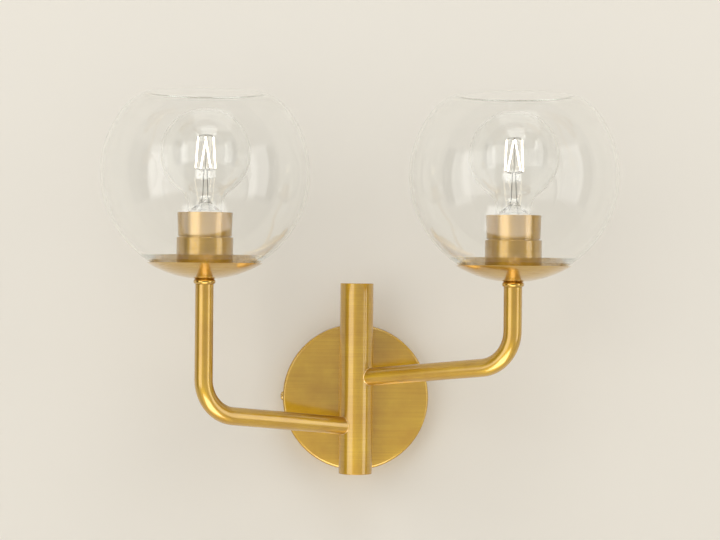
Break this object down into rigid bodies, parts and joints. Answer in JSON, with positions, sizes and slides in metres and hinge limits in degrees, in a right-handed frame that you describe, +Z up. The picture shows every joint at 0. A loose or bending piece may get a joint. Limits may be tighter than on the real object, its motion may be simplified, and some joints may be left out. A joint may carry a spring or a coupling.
{
  "type": "double arm wall sconce",
  "caption": "Brass wall sconce: bent tube arms leave an upright column and each hold a dish, an open-topped clear glass globe and a filament bulb in a screw lampholder.",
  "frame": {"origin": "centre of the bracket's slot pattern on the wall plane, behind the middle of the canopy", "axes": "the wall is the plane y = 0, -Y points out of the wall into the room, +Z is up and +X is to the viewer's right"},
  "size_m": [0.445, 0.2231, 0.3344],
  "materials": {
    "brushed_brass": "brushed, lacquered",
    "polished_brass": "turned and polished",
    "raw_brass": "machined",
    "zinc_steel": "zinc plated",
    "clear_glass": "blown, fire-polished rim",
    "bulb_clear_glass": "thin, clear",
    "nickel_cap": "thin rolled sheet",
    "black_insulator": "fused vitrite",
    "porcelain": "glazed",
    "silicone": "translucent, matt",
    "lead_sleeving": "braided glass fibre",
    "lit_filament": "coated light-emitting strip",
    "fine_wire": "drawn wire"
  },
  "bodies": {
    "fixture": {"wall_bracket": "zinc_steel", "ground_screw": "raw_brass", "canopy": "brushed_brass", "canopy_side_screw": "polished_brass", "canopy_catch": "zinc_steel", "stem_collar": "brushed_brass", "stem_washer": "zinc_steel", "stem_locknut": "raw_brass", "stem_nipple": "raw_brass", "column": "brushed_brass", "column_top_cap": "brushed_brass", "column_bottom_cap": "brushed_brass", "left_arm": "brushed_brass", "left_leads": "lead_sleeving", "left_arm_bush": "raw_brass", "left_arm_ring": "polished_brass", "left_holder_nipple": "raw_brass", "left_dish": "polished_brass", "left_seat_gasket": "silicone", "left_globe": "clear_glass", "left_upper_gasket": "silicone", "left_holder_cup": "polished_brass", "left_holder_nut": "raw_brass", "left_holder_core": "porcelain", "left_screw_shell": "raw_brass", "left_centre_contact": "raw_brass", "right_arm": "brushed_brass", "right_leads": "lead_sleeving", "right_arm_bush": "raw_brass", "right_arm_ring": "polished_brass", "right_holder_nipple": "raw_brass", "right_dish": "polished_brass", "right_seat_gasket": "silicone", "right_globe": "clear_glass", "right_upper_gasket": "silicone", "right_holder_cup": "polished_brass", "right_holder_nut": "raw_brass", "right_holder_core": "porcelain", "right_screw_shell": "raw_brass", "right_centre_contact": "raw_brass"},
    "left_bulb": {"left_bulb_contact": "zinc_steel", "left_bulb_insulator": "black_insulator", "left_bulb_cap": "nickel_cap", "left_bulb_glass": "bulb_clear_glass", "left_bulb_stem": "bulb_clear_glass", "left_bulb_filaments": "lit_filament", "left_bulb_frame": "fine_wire"},
    "left_sleeve": {"left_holder_sleeve": "polished_brass"},
    "right_bulb": {"right_bulb_contact": "zinc_steel", "right_bulb_insulator": "black_insulator", "right_bulb_cap": "nickel_cap", "right_bulb_glass": "bulb_clear_glass", "right_bulb_stem": "bulb_clear_glass", "right_bulb_filaments": "lit_filament", "right_bulb_frame": "fine_wire"},
    "right_sleeve": {"right_holder_sleeve": "polished_brass"}
  },
  "joints": [
    {"name": "left_bulb_lift", "type": "slide", "parent": "fixture", "child": "left_bulb", "axis": [0, 0, 1], "range_m": [0, 0.14]},
    {"name": "left_sleeve_turn", "type": "hinge", "parent": "fixture", "child": "left_sleeve", "pos_m": [-0.13251, -0.13105, 0.15], "axis": [0, 0, 1], "range_deg": [0, 720]},
    {"name": "right_bulb_lift", "type": "slide", "parent": "fixture", "child": "right_bulb", "axis": [0, 0, 1], "range_m": [0, 0.14]},
    {"name": "right_sleeve_turn", "type": "hinge", "parent": "fixture", "child": "right_sleeve", "pos_m": [0.13251, -0.13105, 0.15], "axis": [0, 0, 1], "range_deg": [0, 720]}
  ]
}
